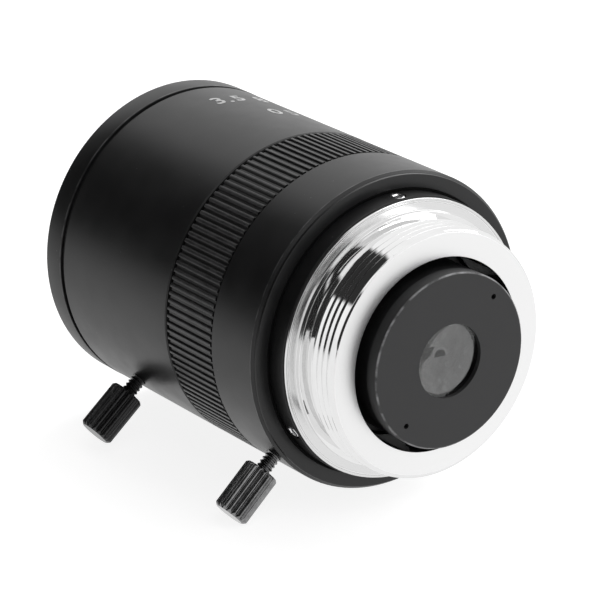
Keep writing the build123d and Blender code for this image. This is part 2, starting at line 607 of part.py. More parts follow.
def iris_drive_ring():
    """Ring with six cam slots, which swing the blades."""
    ring = tube(DRIVE_RING_BORE_R, DRIVE_RING_R, DRIVE_RING_Y, DRIVE_RING_Y + DRIVE_RING_THICK)
    width = 2 * (BLADE_DRIVE_PIN_R + RUNNING)
    path = []
    for k in range(DRIVE_SLOT_STEPS + 1):
        radius, angle = blade_pin_place(BLADE_TURN * k / DRIVE_SLOT_STEPS)
        angle = radians(angle - IRIS_TURN * k / DRIVE_SLOT_STEPS)
        path.append(Vector(radius * cos(angle), radius * sin(angle)))
    slot = Sketch()
    for start, end in zip(path, path[1:]):
        run = end - start
        stretch = SlotCenterToCenter(run.length, width, rotation=degrees(atan2(run.Y, run.X)))
        slot += Pos(*(start + end) / 2) * stretch
    tool = extrude(across(DRIVE_RING_Y - EPS) * slot, DRIVE_RING_THICK + 2 * EPS)
    seat = DRIVE_RING_R - LEVER_SEAT
    lever_hole = radial_pin(lever_angle(), LEVER_Y, LEVER_R + SNUG, seat, DRIVE_RING_R + EPS)
    return ring - [Rot(0, a, 0) * tool for a in evenly(BLADE_COUNT)] - lever_hole


def iris_blade(layer, angle):
    """One thin blade with a pivot pin behind it and a drive pin in front."""
    arm = SlotCenterToCenter(BLADE_ARM, BLADE_ARM_WIDTH, rotation=90)
    outline = sector(BLADE_IN_R, BLADE_OUT_R, BLADE_START, BLADE_SPAN)
    outline += sector(BLADE_OUT_R - EPS, BLADE_PIVOT_CIRCLE_R, BLADE_START, -BLADE_START)
    outline += Pos(BLADE_PIVOT_CIRCLE_R, 0) * Circle(BLADE_LUG_R)
    outline += Pos(BLADE_PIVOT_CIRCLE_R, -BLADE_ARM / 2) * arm
    y = BLADES_Y + layer * BLADE_PITCH
    low = (Align.CENTER, Align.CENTER, Align.MIN)
    pivot_length = y - IRIS_PLATE_Y + BLADE_THICK / 2
    drive_length = DRIVE_RING_Y + DRIVE_PIN_REACH - y
    base = across(y).location
    pivot = Pos(BLADE_PIVOT_CIRCLE_R, 0, BLADE_THICK / 2 - pivot_length)
    drive = Pos(BLADE_PIVOT_CIRCLE_R, -BLADE_ARM, 0)
    blade = extrude(across(y) * outline, BLADE_THICK)
    blade += base * pivot * Cylinder(BLADE_PIVOT_R, pivot_length, align=low)
    blade += base * drive * Cylinder(BLADE_DRIVE_PIN_R, drive_length, align=low)
    return Rot(0, angle, 0) * blade


def front_cell():
    """Sliding front cell with a wide head for the front glass."""
    head_end = FRONT_CELL_END_Y + FRONT_HEAD_LENGTH
    relief_end = FRONT_CELL_Y + FRONT_CELL_RELIEF
    skirt = FRONT_CELL_R - FRONT_CELL_SKIRT
    core = FRONT_CELL_BORE_R + FRONT_CELL_CORE
    cell = turned(
        (FRONT_CELL_LIP_R, FRONT_CELL_Y), (core, FRONT_CELL_Y), (core, relief_end),
        (skirt, relief_end), (skirt, FRONT_CELL_Y), (FRONT_CELL_R, FRONT_CELL_Y),
        (FRONT_CELL_R, FRONT_CELL_END_Y), (FRONT_HEAD_R, FRONT_CELL_END_Y),
        (FRONT_HEAD_R, head_end), (FRONT_RING_R + SNUG, head_end), (FRONT_RING_R + SNUG, FRONT_RIM_Y),
        (FRONT_LENS_R + SNUG, FRONT_RIM_Y), (FRONT_LENS_R + SNUG, FRONT_SEAT_Y),
        (FRONT_CELL_BORE_R, FRONT_SEAT_Y), (FRONT_CELL_BORE_R, INNER_LENS_Y),
        (FRONT_CELL_LIP_R, INNER_LENS_Y),
    )
    holes = [
        radial_pin(a, FOCUS_PIN_Y, PIN_R, skirt - EPS, FRONT_CELL_R + EPS)
        for a in pin_angles(FOCUS_LOCK_ANGLE, FOCUS_TURN)
    ]
    return cell - holes


def front_lens_ring():
    """Threaded ring that holds the front glass, with a plain sloping face."""
    inner_r = FRONT_LENS_R - FRONT_RING_OVERLAP
    inner_y = glass_y(FRONT_RIM_Y, FRONT_LENS_DOME, FRONT_LENS_R, inner_r) + SNUG
    rim_y = FRONT_RIM_Y + SNUG
    return turned(
        (inner_r, inner_y), (FRONT_LENS_R, rim_y), (FRONT_RING_R, rim_y),
        (FRONT_RING_R, rim_y + FRONT_RING_THICK), (inner_r, inner_y + FRONT_RING_THIN),
    )


def front_glass():
    """The three front elements."""
    return {
        "front_lens": glass(
            FRONT_LENS_R, (FRONT_SEAT_Y, FRONT_LENS_HOLLOW, FRONT_LENS_HOLLOW_R),
            (FRONT_RIM_Y, FRONT_LENS_DOME, FRONT_LENS_R),
        ),
        "middle_lens": glass(
            FRONT_GLASS_R, (MIDDLE_LENS_Y, MIDDLE_LENS_BACK_HOLLOW, FRONT_LAND_R),
            (INNER_LOCK_Y, -MIDDLE_LENS_HOLLOW, FRONT_LAND_R),
        ),
        "inner_lens": glass(
            FRONT_GLASS_R, (INNER_LENS_Y, -INNER_LENS_BACK_DOME, FRONT_CELL_LIP_R - SNUG),
            (FRONT_SPACER_Y, INNER_LENS_DOME, FRONT_LAND_R),
        ),
    }


nodes = {
    "mount_ring": mount_ring(),
    "mount_set_screws": mount_set_screws(),
    "base_barrel": base_barrel(),
    "zoom_ring": zoom_ring(),
    "zoom_lock_screw": lock_screw(ZOOM_LOCK_ANGLE, ZOOM_LOCK_Y),
    "rear_cell": rear_cell(),
    "rear_cap": rear_cap(),
    "rear_spacer_front": tube(REAR_GLASS_R - GLASS_LAND, REAR_GLASS_R, REAR_SPACER_Y, REAR_SPACER_END_Y),
    "rear_spacer_back": rear_spacer_back(),
    "zoom_drive_pins": drive_pins(ZOOM_LOCK_ANGLE, ZOOM_TURN, ZOOM_PIN_Y, REAR_CELL_BORE_R),
    **rear_glass(),
    "iris_ring": iris_ring(),
    "iris_base_plate": iris_base_plate(),
    "iris_drive_ring": iris_drive_ring(),
    "iris_lever_pin": radial_pin(
        lever_angle(), LEVER_Y, LEVER_R, DRIVE_RING_R - LEVER_SEAT, CAM_FLOOR_R - RUNNING
    ),
    "iris_cover_ring": tube(TUBE_BORE_R - COVER_WIDTH, TUBE_BORE_R - SNUG, COVER_Y, COVER_Y + COVER_LENGTH),
    "focus_ring": focus_ring(),
    "focus_retainer_ring": tube(TUBE_R + SNUG, RETAINER_R, RETAINER_Y, RETAINER_FRONT_Y),
    "focus_lock_screw": lock_screw(FOCUS_LOCK_ANGLE, FOCUS_LOCK_Y),
    "front_bezel": front_bezel(),
    "front_cell": front_cell(),
    "front_lens_ring": front_lens_ring(),
    "front_spacer": tube(FRONT_LAND_R, FRONT_GLASS_R, FRONT_SPACER_Y, MIDDLE_LENS_Y),
    "inner_lock_ring": tube(FRONT_LAND_R, FRONT_GLASS_R, INNER_LOCK_Y, INNER_LOCK_Y + INNER_LOCK_LENGTH),
    "focus_drive_pins": drive_pins(
        FOCUS_LOCK_ANGLE, FOCUS_TURN, FOCUS_PIN_Y, FRONT_CELL_R - FRONT_CELL_SKIRT
    ),
    **front_glass(),
}
for layer, angle in enumerate(evenly(BLADE_COUNT)):
    nodes[f"iris_blade_{layer + 1}"] = iris_blade(layer, angle)

os.makedirs("parts", exist_ok=True)
for name, solids in nodes.items():
    shape = Compound(children=solids) if isinstance(solids, list) else solids
    export_step(shape, f"parts/{name}.step")
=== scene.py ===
from math import cos, pi, radians, sin, tau

import bmesh
import bpy
from mathutils import Matrix, Vector


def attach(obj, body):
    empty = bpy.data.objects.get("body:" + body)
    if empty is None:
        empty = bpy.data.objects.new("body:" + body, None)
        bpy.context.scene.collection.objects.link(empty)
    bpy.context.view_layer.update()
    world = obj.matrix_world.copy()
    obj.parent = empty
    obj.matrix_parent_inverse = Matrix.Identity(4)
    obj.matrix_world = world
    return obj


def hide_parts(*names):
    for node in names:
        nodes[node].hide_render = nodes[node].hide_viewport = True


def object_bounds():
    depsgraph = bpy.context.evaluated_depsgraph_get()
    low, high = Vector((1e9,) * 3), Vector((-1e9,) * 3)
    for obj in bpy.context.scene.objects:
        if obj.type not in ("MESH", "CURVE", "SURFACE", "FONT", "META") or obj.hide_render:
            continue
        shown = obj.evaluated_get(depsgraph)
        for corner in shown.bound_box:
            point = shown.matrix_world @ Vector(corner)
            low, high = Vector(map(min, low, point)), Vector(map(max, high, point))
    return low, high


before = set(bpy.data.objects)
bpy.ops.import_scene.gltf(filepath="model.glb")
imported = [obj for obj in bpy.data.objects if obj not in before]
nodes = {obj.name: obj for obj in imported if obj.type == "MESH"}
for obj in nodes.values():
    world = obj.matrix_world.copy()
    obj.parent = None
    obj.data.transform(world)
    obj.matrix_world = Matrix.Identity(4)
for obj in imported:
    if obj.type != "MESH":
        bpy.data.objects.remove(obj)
packed_box = [list(corner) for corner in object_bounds()]


# The barrel and its rings: turned from aluminium bar, blasted with fine beads and anodised black.
# The same finish is on both sliding cells and on the iris plates. The rings' outer edges are painted a
# little paler, partly worn by handling and partly a painted highlight. All places and sizes are in
# millimetres, on the lens axis along Y.
MM = 0.001
RING_R = 16.34
BEZEL_R = 16.37
ZOOM_EDGE_Y = 2.9
BEZEL_EDGE_Y = 37.05
DUST_SHADE = 0.16


def put(tree, kind, sockets=(), **settings):
    """Adds a node to a tree. Each socket takes a value or another node's output."""
    made = tree.nodes.new(kind)
    for setting, value in settings.items():
        setattr(made, setting, value)
    for name, value in dict(sockets).items():
        if isinstance(value, bpy.types.NodeSocket):
            tree.links.new(value, made.inputs[name])
        else:
            made.inputs[name].default_value = value
    return made


def maths(tree, operation, *values):
    """The result of one sum on numbers or on other nodes' outputs."""
    return put(tree, "ShaderNodeMath", dict(enumerate(values)), operation=operation).outputs[0]


def vectors(tree, operation, *values):
    """The result of one sum on vectors."""
    return put(tree, "ShaderNodeVectorMath", dict(enumerate(values)), operation=operation).outputs


def spread(tree, value, low, high, to_low, to_high, easing="LINEAR"):
    """A value brought from one range to another, and held at its ends."""
    sockets = {"Value": value, "From Min": low, "From Max": high, "To Min": to_low, "To Max": to_high}
    return put(tree, "ShaderNodeMapRange", sockets, interpolation_type=easing).outputs["Result"]


def blend(tree, share, first, second):
    """A colour between two others."""
    ends = [value if isinstance(value, bpy.types.NodeSocket) else (*value, 1) for value in (first, second)]
    return put(tree, "ShaderNodeMix", {0: share, 6: ends[0], 7: ends[1]}, data_type="RGBA").outputs[2]


def group(kind, name, inputs, outputs):
    """An empty node group, with the sockets that it is given and those that it gives."""
    tree = bpy.data.node_groups.new(name, kind)
    for side, sockets in (("INPUT", inputs), ("OUTPUT", outputs)):
        for socket, form in sockets.items():
            tree.interface.new_socket(socket, in_out=side, socket_type="NodeSocket" + form)
    return tree, put(tree, "NodeGroupInput").outputs, put(tree, "NodeGroupOutput").inputs


def use(tree, shared, **values):
    """The outputs of a shared node group, used with the given values."""
    made = put(tree, "ShaderNodeGroup", node_tree=shared)
    for name, value in values.items():
        made.inputs[name.replace("_", " ")].default_value = value
    return made.outputs


def finish_of(name, **values):
    """A new material, and its shader with the plain values that it is given."""
    made = bpy.data.materials.new(name)
    made.use_nodes = True
    shader = made.node_tree.nodes["Principled BSDF"]
    for socket, value in values.items():
        shader.inputs[socket.replace("_", " ")].default_value = value
    return made, made.node_tree, shader


def dress(material, *names):
    """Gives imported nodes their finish."""
    for name in names:
        nodes[name].data.materials.clear()
        nodes[name].data.materials.append(material)


grain, given, gives = group(
    "ShaderNodeTree", "blasted_grain",
    {"Grains per mm": "Float", "Speck size": "Float"},
    {"Height": "Float", "Mottle": "Float", "Speck": "Float"},
)
place = put(grain, "ShaderNodeTexCoord").outputs["Object"]
place = vectors(grain, "MULTIPLY", place, (1 / MM,) * 3)[0]
beads = put(grain, "ShaderNodeTexNoise", {"Vector": place, "Scale": given["Grains per mm"], "Detail": 2.0})
cloud = put(grain, "ShaderNodeTexNoise", {"Vector": place, "Scale": 0.35, "Detail": 4.0})
cells = put(grain, "ShaderNodeTexVoronoi", {"Vector": place, "Scale": 0.9})
chosen = maths(grain, "GREATER_THAN", cells.outputs["Color"], 0.6)
speck = spread(grain, cells.outputs["Distance"], given["Speck size"], 0.0, 0.0, 1.0)
grain.links.new(beads.outputs[0], gives["Height"])
grain.links.new(cloud.outputs[0], gives["Mottle"])
grain.links.new(maths(grain, "MULTIPLY", speck, chosen), gives["Speck"])

# The paler edge: a patchy band along an edge, partly worn metal and partly a painted highlight.
edge_wear_and_highlight, given, gives = group(
    "ShaderNodeTree", "worn_and_painted_highlight_edge",
    {"Radius": "Float", "Place": "Float", "Width": "Float", "Axial share": "Float"}, {"Wear and highlight": "Float"},
)
place = put(edge_wear_and_highlight, "ShaderNodeTexCoord").outputs["Object"]
place = vectors(edge_wear_and_highlight, "MULTIPLY", place, (1 / MM,) * 3)[0]
from_axis = vectors(edge_wear_and_highlight, "LENGTH", vectors(edge_wear_and_highlight, "MULTIPLY", place, (1, 0, 1))[0])["Value"]
along = put(edge_wear_and_highlight, "ShaderNodeSeparateXYZ", {0: place}).outputs["Y"]
along = maths(edge_wear_and_highlight, "MULTIPLY", maths(edge_wear_and_highlight, "SUBTRACT", along, given["Place"]), given["Axial share"])
here = put(edge_wear_and_highlight, "ShaderNodeCombineXYZ", {0: from_axis, 1: along}).outputs[0]
edge = put(edge_wear_and_highlight, "ShaderNodeCombineXYZ", {0: given["Radius"]}).outputs[0]
distance = vectors(edge_wear_and_highlight, "DISTANCE", here, edge)["Value"]
patches = put(edge_wear_and_highlight, "ShaderNodeTexNoise", {"Vector": place, "Scale": 0.8, "Detail": 5.0}).outputs[0]
near = spread(edge_wear_and_highlight, distance, given["Width"], 0.0, 0.0, 1.0, "SMOOTHSTEP")
patches = spread(edge_wear_and_highlight, patches, 0.4, 0.6, 0.1, 1.0)
edge_wear_and_highlight.links.new(maths(edge_wear_and_highlight, "MULTIPLY", near, patches), gives["Wear and highlight"])


def blasted(name, dark, light, smooth, rough, relief, grains, speck_size=0.0, edges=(), **values):
    """A blasted finish: two shades of colour, two of gloss, grain of a given depth, and paler edges (partly
    worn, partly a painted highlight).
    An edge has its radius, place and width, the share of the axial distance that counts, and its shade."""
    made, tree, shader = finish_of(name, **values)
    surface = use(tree, grain, Grains_per_mm=grains, Speck_size=speck_size)
    mottle = spread(tree, surface["Mottle"], 0.35, 0.65, 0, 1)
    base = blend(tree, mottle, dark, light)
    gloss = spread(tree, mottle, 0, 1, smooth, rough)
    # Each edge is painted paler: partly worn, partly a painted highlight.
    for radius, along, width, axial_share, pale in edges:
        wear_and_highlight = use(tree, edge_wear_and_highlight, Radius=radius, Place=along, Width=width, Axial_share=axial_share)["Wear and highlight"]
        base = blend(tree, wear_and_highlight, base, (pale, pale, pale * 1.02))
    base = blend(tree, surface["Speck"], base, (DUST_SHADE,) * 3)
    raised = {"Height": surface["Height"], "Strength": 1.0, "Distance": relief * MM}
    bump = put(tree, "ShaderNodeBump", raised)
    tree.links.new(base, shader.inputs["Base Color"])
    tree.links.new(gloss, shader.inputs["Roughness"])
    tree.links.new(bump.outputs[0], shader.inputs["Normal"])
    return made


# Painted highlights, partly worn, along the zoom ring's rear edge and the bezel's rear edge.
black_anodised = blasted(
    "black_anodised", (0.0095, 0.0095, 0.010), (0.0125, 0.0125, 0.013), 0.34, 0.39, 0.0012, 14,
    speck_size=0.06, edges=((RING_R, ZOOM_EDGE_Y, 0.1, 1, 0.1), (BEZEL_R, BEZEL_EDGE_Y, 0.14, 1, 0.1)),
)
dress(
    black_anodised, "base_barrel", "zoom_ring", "focus_ring", "rear_cell", "front_cell",
    "iris_base_plate", "iris_drive_ring",
)


# The inner pieces with a matt black finish: the rear cap, the spacers and the threaded rings.
# They are turned, and finished matt so that they throw no light back into the picture.
# The cap's rim is painted much paler: a painted highlight on its bevel, partly worn too.
CAP_EDGE_R = 8.9
CAP_EDGE_Y = -7.17
# The cap's rim edge is painted pale: a painted highlight, partly worn.
black_matt = blasted(
    "black_matt", (0.027, 0.027, 0.028), (0.031, 0.031, 0.032), 0.50, 0.55, 0.001, 9,
    edges=((CAP_EDGE_R, CAP_EDGE_Y, 0.2, 1, 0.45),),
)
dress(
    black_matt, "rear_cap", "rear_spacer_front", "rear_spacer_back", "front_spacer",
    "inner_lock_ring", "iris_cover_ring", "focus_retainer_ring",
)


# The mount ring: brass, turned, threaded and chromed. Its spigot is clamped in the barrel's collar,
# its flange is the seat against the camera, and its thread has 32 turns to the inch.
CREST_R = 12.7
FACE_Y = -5.2
THREAD_END_Y = -1.4
THREAD_PITCH = 25.4 / 32
THREAD_DEPTH = 0.49
THREAD_LEAD = 0.4
FACE_BEVEL = 0.1
FACE_EDGE_R = CREST_R - THREAD_LEAD - FACE_BEVEL
MOUNT_BORE_R = 9.86
UNDERCUT_R = 12.0
SHOULDER_R = 13.05
SHOULDER_Y = -0.5
FLANGE_R = 14.27
FLANGE_THICK = 0.35
SEAT_GROOVE_IN_R = 13.88
SEAT_GROOVE_OUT_R = 14.02
SEAT_GROOVE_DEPTH = 0.12
SPIGOT_R = 12.6
SPIGOT_BORE_R = 11.2
SPIGOT_END_Y = 3.55
ROWS_A_TURN = 20
TURNING_STEPS = 288
STREAKS_PER_MM = 1.6
MERGE = 0.0004 * MM

ridges, given, gives = group(
    "GeometryNodeTree", "ridged_surface",
    {
        "Crest radius": "Float", "Depth": "Float", "Side": "Float", "Start": "Float", "End": "Float",
        "Ridges round": "Float", "Turns per mm": "Float", "Lean": "Float", "Crest share": "Float",
        "Root share": "Float", "Crown": "Float", "Roundness": "Float",
        "Start chamfer": "Float", "End chamfer": "Float",
        "Start radius": "Float", "End radius": "Float", "Row step": "Float", "Columns": "Int",
        "Material": "Material",
    },
    {"Mesh": "Geometry"},
)
reach = maths(ridges, "ADD", maths(ridges, "SUBTRACT", given["End"], given["Start"]), given["Lean"])
rows = maths(ridges, "CEIL", maths(ridges, "DIVIDE", reach, given["Row step"]))
sheet = put(ridges, "GeometryNodeMeshGrid", {
    "Vertices X": maths(ridges, "ADD", given["Columns"], 1), "Vertices Y": maths(ridges, "ADD", rows, 3),
}).outputs["Mesh"]
flat = put(ridges, "ShaderNodeSeparateXYZ", {0: put(ridges, "GeometryNodeInputPosition").outputs[0]}).outputs
share_round = maths(ridges, "ADD", flat["X"], 0.5)
row = maths(ridges, "MULTIPLY", maths(ridges, "ADD", flat["Y"], 0.5), maths(ridges, "ADD", rows, 2))
along = maths(ridges, "MULTIPLY", maths(ridges, "SUBTRACT", row, 1), given["Row step"])
along = maths(ridges, "ADD", along, maths(ridges, "SUBTRACT", given["Start"], given["Lean"]))
along = maths(ridges, "ADD", along, maths(ridges, "MULTIPLY", share_round, given["Lean"]))
along = maths(ridges, "MINIMUM", maths(ridges, "MAXIMUM", along, given["Start"]), given["End"])
turn = maths(ridges, "MULTIPLY", share_round, tau)
phase = maths(ridges, "MULTIPLY", share_round, given["Ridges round"])
phase = maths(ridges, "ADD", phase, maths(ridges, "MULTIPLY", along, given["Turns per mm"]))
from_crest = maths(ridges, "ABSOLUTE", maths(ridges, "SUBTRACT", maths(ridges, "FRACT", phase), 0.5))
from_crest = maths(ridges, "MULTIPLY", from_crest, 2)
flank = maths(ridges, "SUBTRACT", given["Root share"], given["Crest share"])
drop = maths(ridges, "DIVIDE", maths(ridges, "SUBTRACT", from_crest, given["Crest share"]), flank)
drop = maths(ridges, "MULTIPLY", maths(ridges, "MAXIMUM", drop, 0), given["Depth"])
crown = maths(ridges, "MULTIPLY", maths(ridges, "MULTIPLY", from_crest, from_crest), given["Crown"])
drop = maths(ridges, "ADD", drop, crown)
drop = maths(ridges, "SMOOTH_MIN", drop, given["Depth"], given["Roundness"])
drop = maths(ridges, "SMOOTH_MAX", drop, 0, given["Roundness"])
from_start = maths(ridges, "SUBTRACT", along, given["Start"])
from_end = maths(ridges, "SUBTRACT", given["End"], along)
drop = maths(ridges, "MAXIMUM", drop, maths(ridges, "SUBTRACT", given["Start chamfer"], from_start))
drop = maths(ridges, "MAXIMUM", drop, maths(ridges, "SUBTRACT", given["End chamfer"], from_end))
radius = maths(ridges, "SUBTRACT", given["Crest radius"], maths(ridges, "MULTIPLY", drop, given["Side"]))
at_start = maths(ridges, "LESS_THAN", row, 0.5)
at_end = maths(ridges, "GREATER_THAN", row, maths(ridges, "ADD", rows, 1.5))
radius = put(ridges, "ShaderNodeMix", {0: at_start, 2: radius, 3: given["Start radius"]}).outputs[0]
radius = put(ridges, "ShaderNodeMix", {0: at_end, 2: radius, 3: given["End radius"]}).outputs[0]
round_place = put(ridges, "ShaderNodeCombineXYZ", {
    0: maths(ridges, "MULTIPLY", radius, maths(ridges, "SINE", turn)),
    1: along,
    2: maths(ridges, "MULTIPLY", radius, maths(ridges, "COSINE", turn)),
}).outputs[0]
in_metres = vectors(ridges, "MULTIPLY", round_place, (MM,) * 3)[0]
sheet = put(ridges, "GeometryNodeSetPosition", {"Geometry": sheet, "Position": in_metres}).outputs[0]
sheet = put(ridges, "GeometryNodeMergeByDistance", {"Geometry": sheet, "Distance": MERGE}).outputs[0]
sheet = put(ridges, "GeometryNodeRealizeInstances", {0: sheet}).outputs[0]
sheet = put(ridges, "GeometryNodeSetMaterial", {"Geometry": sheet, "Material": given["Material"]}).outputs[0]
ridges.links.new(sheet, gives["Mesh"])


def grown(tree, start, **sizes):
    """The plain mesh that a Geometry Nodes tree makes from a mesh and its named sizes."""
    holder = bpy.data.objects.new(tree.name, start)
    bpy.context.scene.collection.objects.link(holder)
    modifier = holder.modifiers.new("shape", "NODES")
    modifier.node_group = tree
    for socket in tree.interface.items_tree:
        if socket.in_out == "INPUT" and socket.name in sizes:
            modifier[socket.identifier] = sizes[socket.name]
    made = bpy.data.meshes.new_from_object(holder.evaluated_get(bpy.context.evaluated_depsgraph_get()))
    holder.modifiers.clear()
    bpy.data.objects.remove(holder)
    return made


def ridged(crest_r, depth, start, end, start_r, end_r, row_step, columns, material, **sizes):
    """A ridged or threaded surface about the lens axis, with its two ends closed to given radii."""
    usual = {
        "Side": 1.0, "Ridges round": 0.0, "Turns per mm": 0.0, "Lean": 0.0, "Crown": 0.0,
        "Roundness": 0.04, "Start chamfer": 0.0, "End chamfer": 0.0,
    }
    usual.update({name.replace("_", " "): value for name, value in sizes.items()})
    return grown(ridges, bpy.data.meshes.new("blank"), **{
        "Crest radius": crest_r, "Depth": depth, "Start": start, "End": end, "Start radius": start_r,
        "End radius": end_r, "Row step": row_step, "Columns": columns, "Material": material, **usual,
    })


def threaded(crest_r, depth, start, end, start_r, end_r, pitch, columns, material, **sizes):
    """A ridged surface whose one ridge winds round the axis as a thread."""
    return ridged(
        crest_r, depth, start, end, start_r, end_r, pitch / ROWS_A_TURN, columns, material,
        Ridges_round=1.0, Turns_per_mm=-1 / pitch, Lean=pitch, **sizes,
    )


def eased(outline, ease, closed=True):
    """An outline with its corners rounded, each by no more than its two sides allow."""
    made = []
    for k, (radius, y) in enumerate(outline):
        if not closed and k in (0, len(outline) - 1):
            made.append((radius, y))
            continue
        here = Vector((radius, y))
        back = Vector(outline[k - 1]) - here
        ahead = Vector(outline[(k + 1) % len(outline)]) - here
        reach = min(ease, 0.4 * back.length, 0.4 * ahead.length)
        start, end = here + back.normalized() * reach, here + ahead.normalized() * reach
        for share in (0, 0.25, 0.5, 0.75, 1):
            made.append(tuple(start.lerp(here, share).lerp(here.lerp(end, share), share)))
    return made


def turned(shape, outline, steps, closed=True):
    """Turns a (radius, y) outline about the lens axis, into a shape."""
    rows = []
    for radius, y in outline:
        rows.append([
            shape.verts.new((radius * sin(tau * k / steps) * MM, y * MM, radius * cos(tau * k / steps) * MM))
            for k in range(steps)
        ])
    for near, far in zip(rows, rows[1:] + rows[:1] if closed else rows[1:]):
        for k in range(steps):
            ahead = (k + 1) % steps
            shape.faces.new((near[k], near[ahead], far[ahead], far[k]))


def piece(name, shape, material, body, slot, *stands_for, sharp=38):
    """Finishes a shape as one piece of the lens, on the body that carries it."""
    bmesh.ops.remove_doubles(shape, verts=shape.verts, dist=MERGE)
    bmesh.ops.recalc_face_normals(shape, faces=shape.faces)
    mesh = bpy.data.meshes.new(name)
    shape.to_mesh(mesh)
    shape.free()
    mesh.materials.clear()
    mesh.materials.append(material)
    mesh.shade_smooth()
    mesh.set_sharp_from_angle(angle=radians(sharp))
    made = bpy.data.objects.new(name, mesh)
    bpy.context.scene.collection.objects.link(made)
    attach(made, body)
    if stands_for:
        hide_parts(*stands_for)
    return made


lathe, given, gives = group(
    "ShaderNodeTree", "turning_marks",
    {"Lines per mm": "Float", "Waver": "Float"}, {"Height": "Float", "Streak": "Float", "Along": "Float"},
)
place = put(lathe, "ShaderNodeTexCoord").outputs["Object"]
place = vectors(lathe, "MULTIPLY", place, (1 / MM,) * 3)[0]
apart = put(lathe, "ShaderNodeSeparateXYZ", {0: place}).outputs
across = vectors(lathe, "MULTIPLY", place, (1, 0, 1))[0]
from_axis = vectors(lathe, "LENGTH", across)["Value"]
outwards = vectors(lathe, "NORMALIZE", across)[0]
scaling = {0: outwards, "Scale": given["Waver"]}
wavered = put(lathe, "ShaderNodeVectorMath", scaling, operation="SCALE").outputs[0]
path = maths(lathe, "ADD", from_axis, apart["Y"])
for per_mm, detail, name in ((given["Lines per mm"], 1.0, "Height"), (STREAKS_PER_MM, 3.0, "Streak")):
    lines = put(lathe, "ShaderNodeCombineXYZ", {1: maths(lathe, "MULTIPLY", path, per_mm)}).outputs[0]
    lines = vectors(lathe, "ADD", wavered, lines)[0]
    noise = put(lathe, "ShaderNodeTexNoise", {"Vector": lines, "Scale": 1.0, "Detail": detail}).outputs[0]
    lathe.links.new(noise, gives[name])
lathe.links.new(apart["Y"], gives["Along"])


def lathed(name, dark, light, smooth, rough, relief, lines, waver=1.5, faces=(), **values):
    """A turned and plated metal: two shades of colour, two of gloss, and lathe lines of a given depth.
    A face, named by its place, its gloss and its shade, is duller than the rest, and its colour is painted
    lighter or darker than the plating for the light it catches."""
    made, tree, shader = finish_of(name, **values)
    marks = use(tree, lathe, Lines_per_mm=lines, Waver=waver)
    streak = spread(tree, marks["Streak"], 0.35, 0.65, 0, 1)
    gloss = spread(tree, streak, 0, 1, smooth, rough)
    base = blend(tree, streak, dark, light)
    for face_y, face_gloss, face_painted_light in faces:
        off = maths(tree, "ABSOLUTE", maths(tree, "SUBTRACT", marks["Along"], face_y))
        on_face = spread(tree, off, 0.03, 0.01, 0, 1)
        gloss = maths(tree, "MAXIMUM", gloss, maths(tree, "MULTIPLY", on_face, face_gloss))
        # Painted light: the face takes its own lighter or darker colour.
        base = blend(tree, on_face, base, (face_painted_light,) * 3)
    raised = {"Height": marks["Height"], "Strength": 1.0, "Distance": relief * MM}
    bump = put(tree, "ShaderNodeBump", raised)
    tree.links.new(base, shader.inputs["Base Color"])
    tree.links.new(gloss, shader.inputs["Roughness"])
    tree.links.new(bump.outputs[0], shader.inputs["Normal"])
    return made


# The rear face is painted brighter than the plating, a painted highlight, and the flange seat darker, a
# painted shade.
chrome = lathed(
    "chrome", (0.85, 0.85, 0.85), (0.88, 0.88, 0.88), 0.03, 0.06, 0.003, 2.5, waver=6.0,
    faces=((FACE_Y, 0.36, 1.0), (0, 0.2, 0.8)), Metallic=1.0,
)
shape = bmesh.new()
shape.from_mesh(threaded(
    CREST_R, THREAD_DEPTH, FACE_Y, THREAD_END_Y, FACE_EDGE_R, UNDERCUT_R, THREAD_PITCH, TURNING_STEPS,
    chrome, Crest_share=0.08, Root_share=0.86, Roundness=0.02, Start_chamfer=THREAD_LEAD,
    End_chamfer=THREAD_DEPTH,
))
turned(shape, eased([
    (UNDERCUT_R, THREAD_END_Y), (UNDERCUT_R, SHOULDER_Y), (SHOULDER_R, SHOULDER_Y), (SHOULDER_R, 0),
    (SEAT_GROOVE_IN_R, 0), (SEAT_GROOVE_IN_R, SEAT_GROOVE_DEPTH),
    (SEAT_GROOVE_OUT_R, SEAT_GROOVE_DEPTH), (SEAT_GROOVE_OUT_R, 0),
    (FLANGE_R, 0), (FLANGE_R, FLANGE_THICK), (SPIGOT_R, FLANGE_THICK), (SPIGOT_R, SPIGOT_END_Y),
    (SPIGOT_BORE_R, SPIGOT_END_Y), (SPIGOT_BORE_R, FLANGE_THICK),
    (MOUNT_BORE_R, FLANGE_THICK), (MOUNT_BORE_R, FACE_Y), (FACE_EDGE_R, FACE_Y),
], 0.07, closed=False), TURNING_STEPS, closed=False)
piece("threaded_mount_ring", shape, chrome, "barrel", "chrome", "mount_ring")


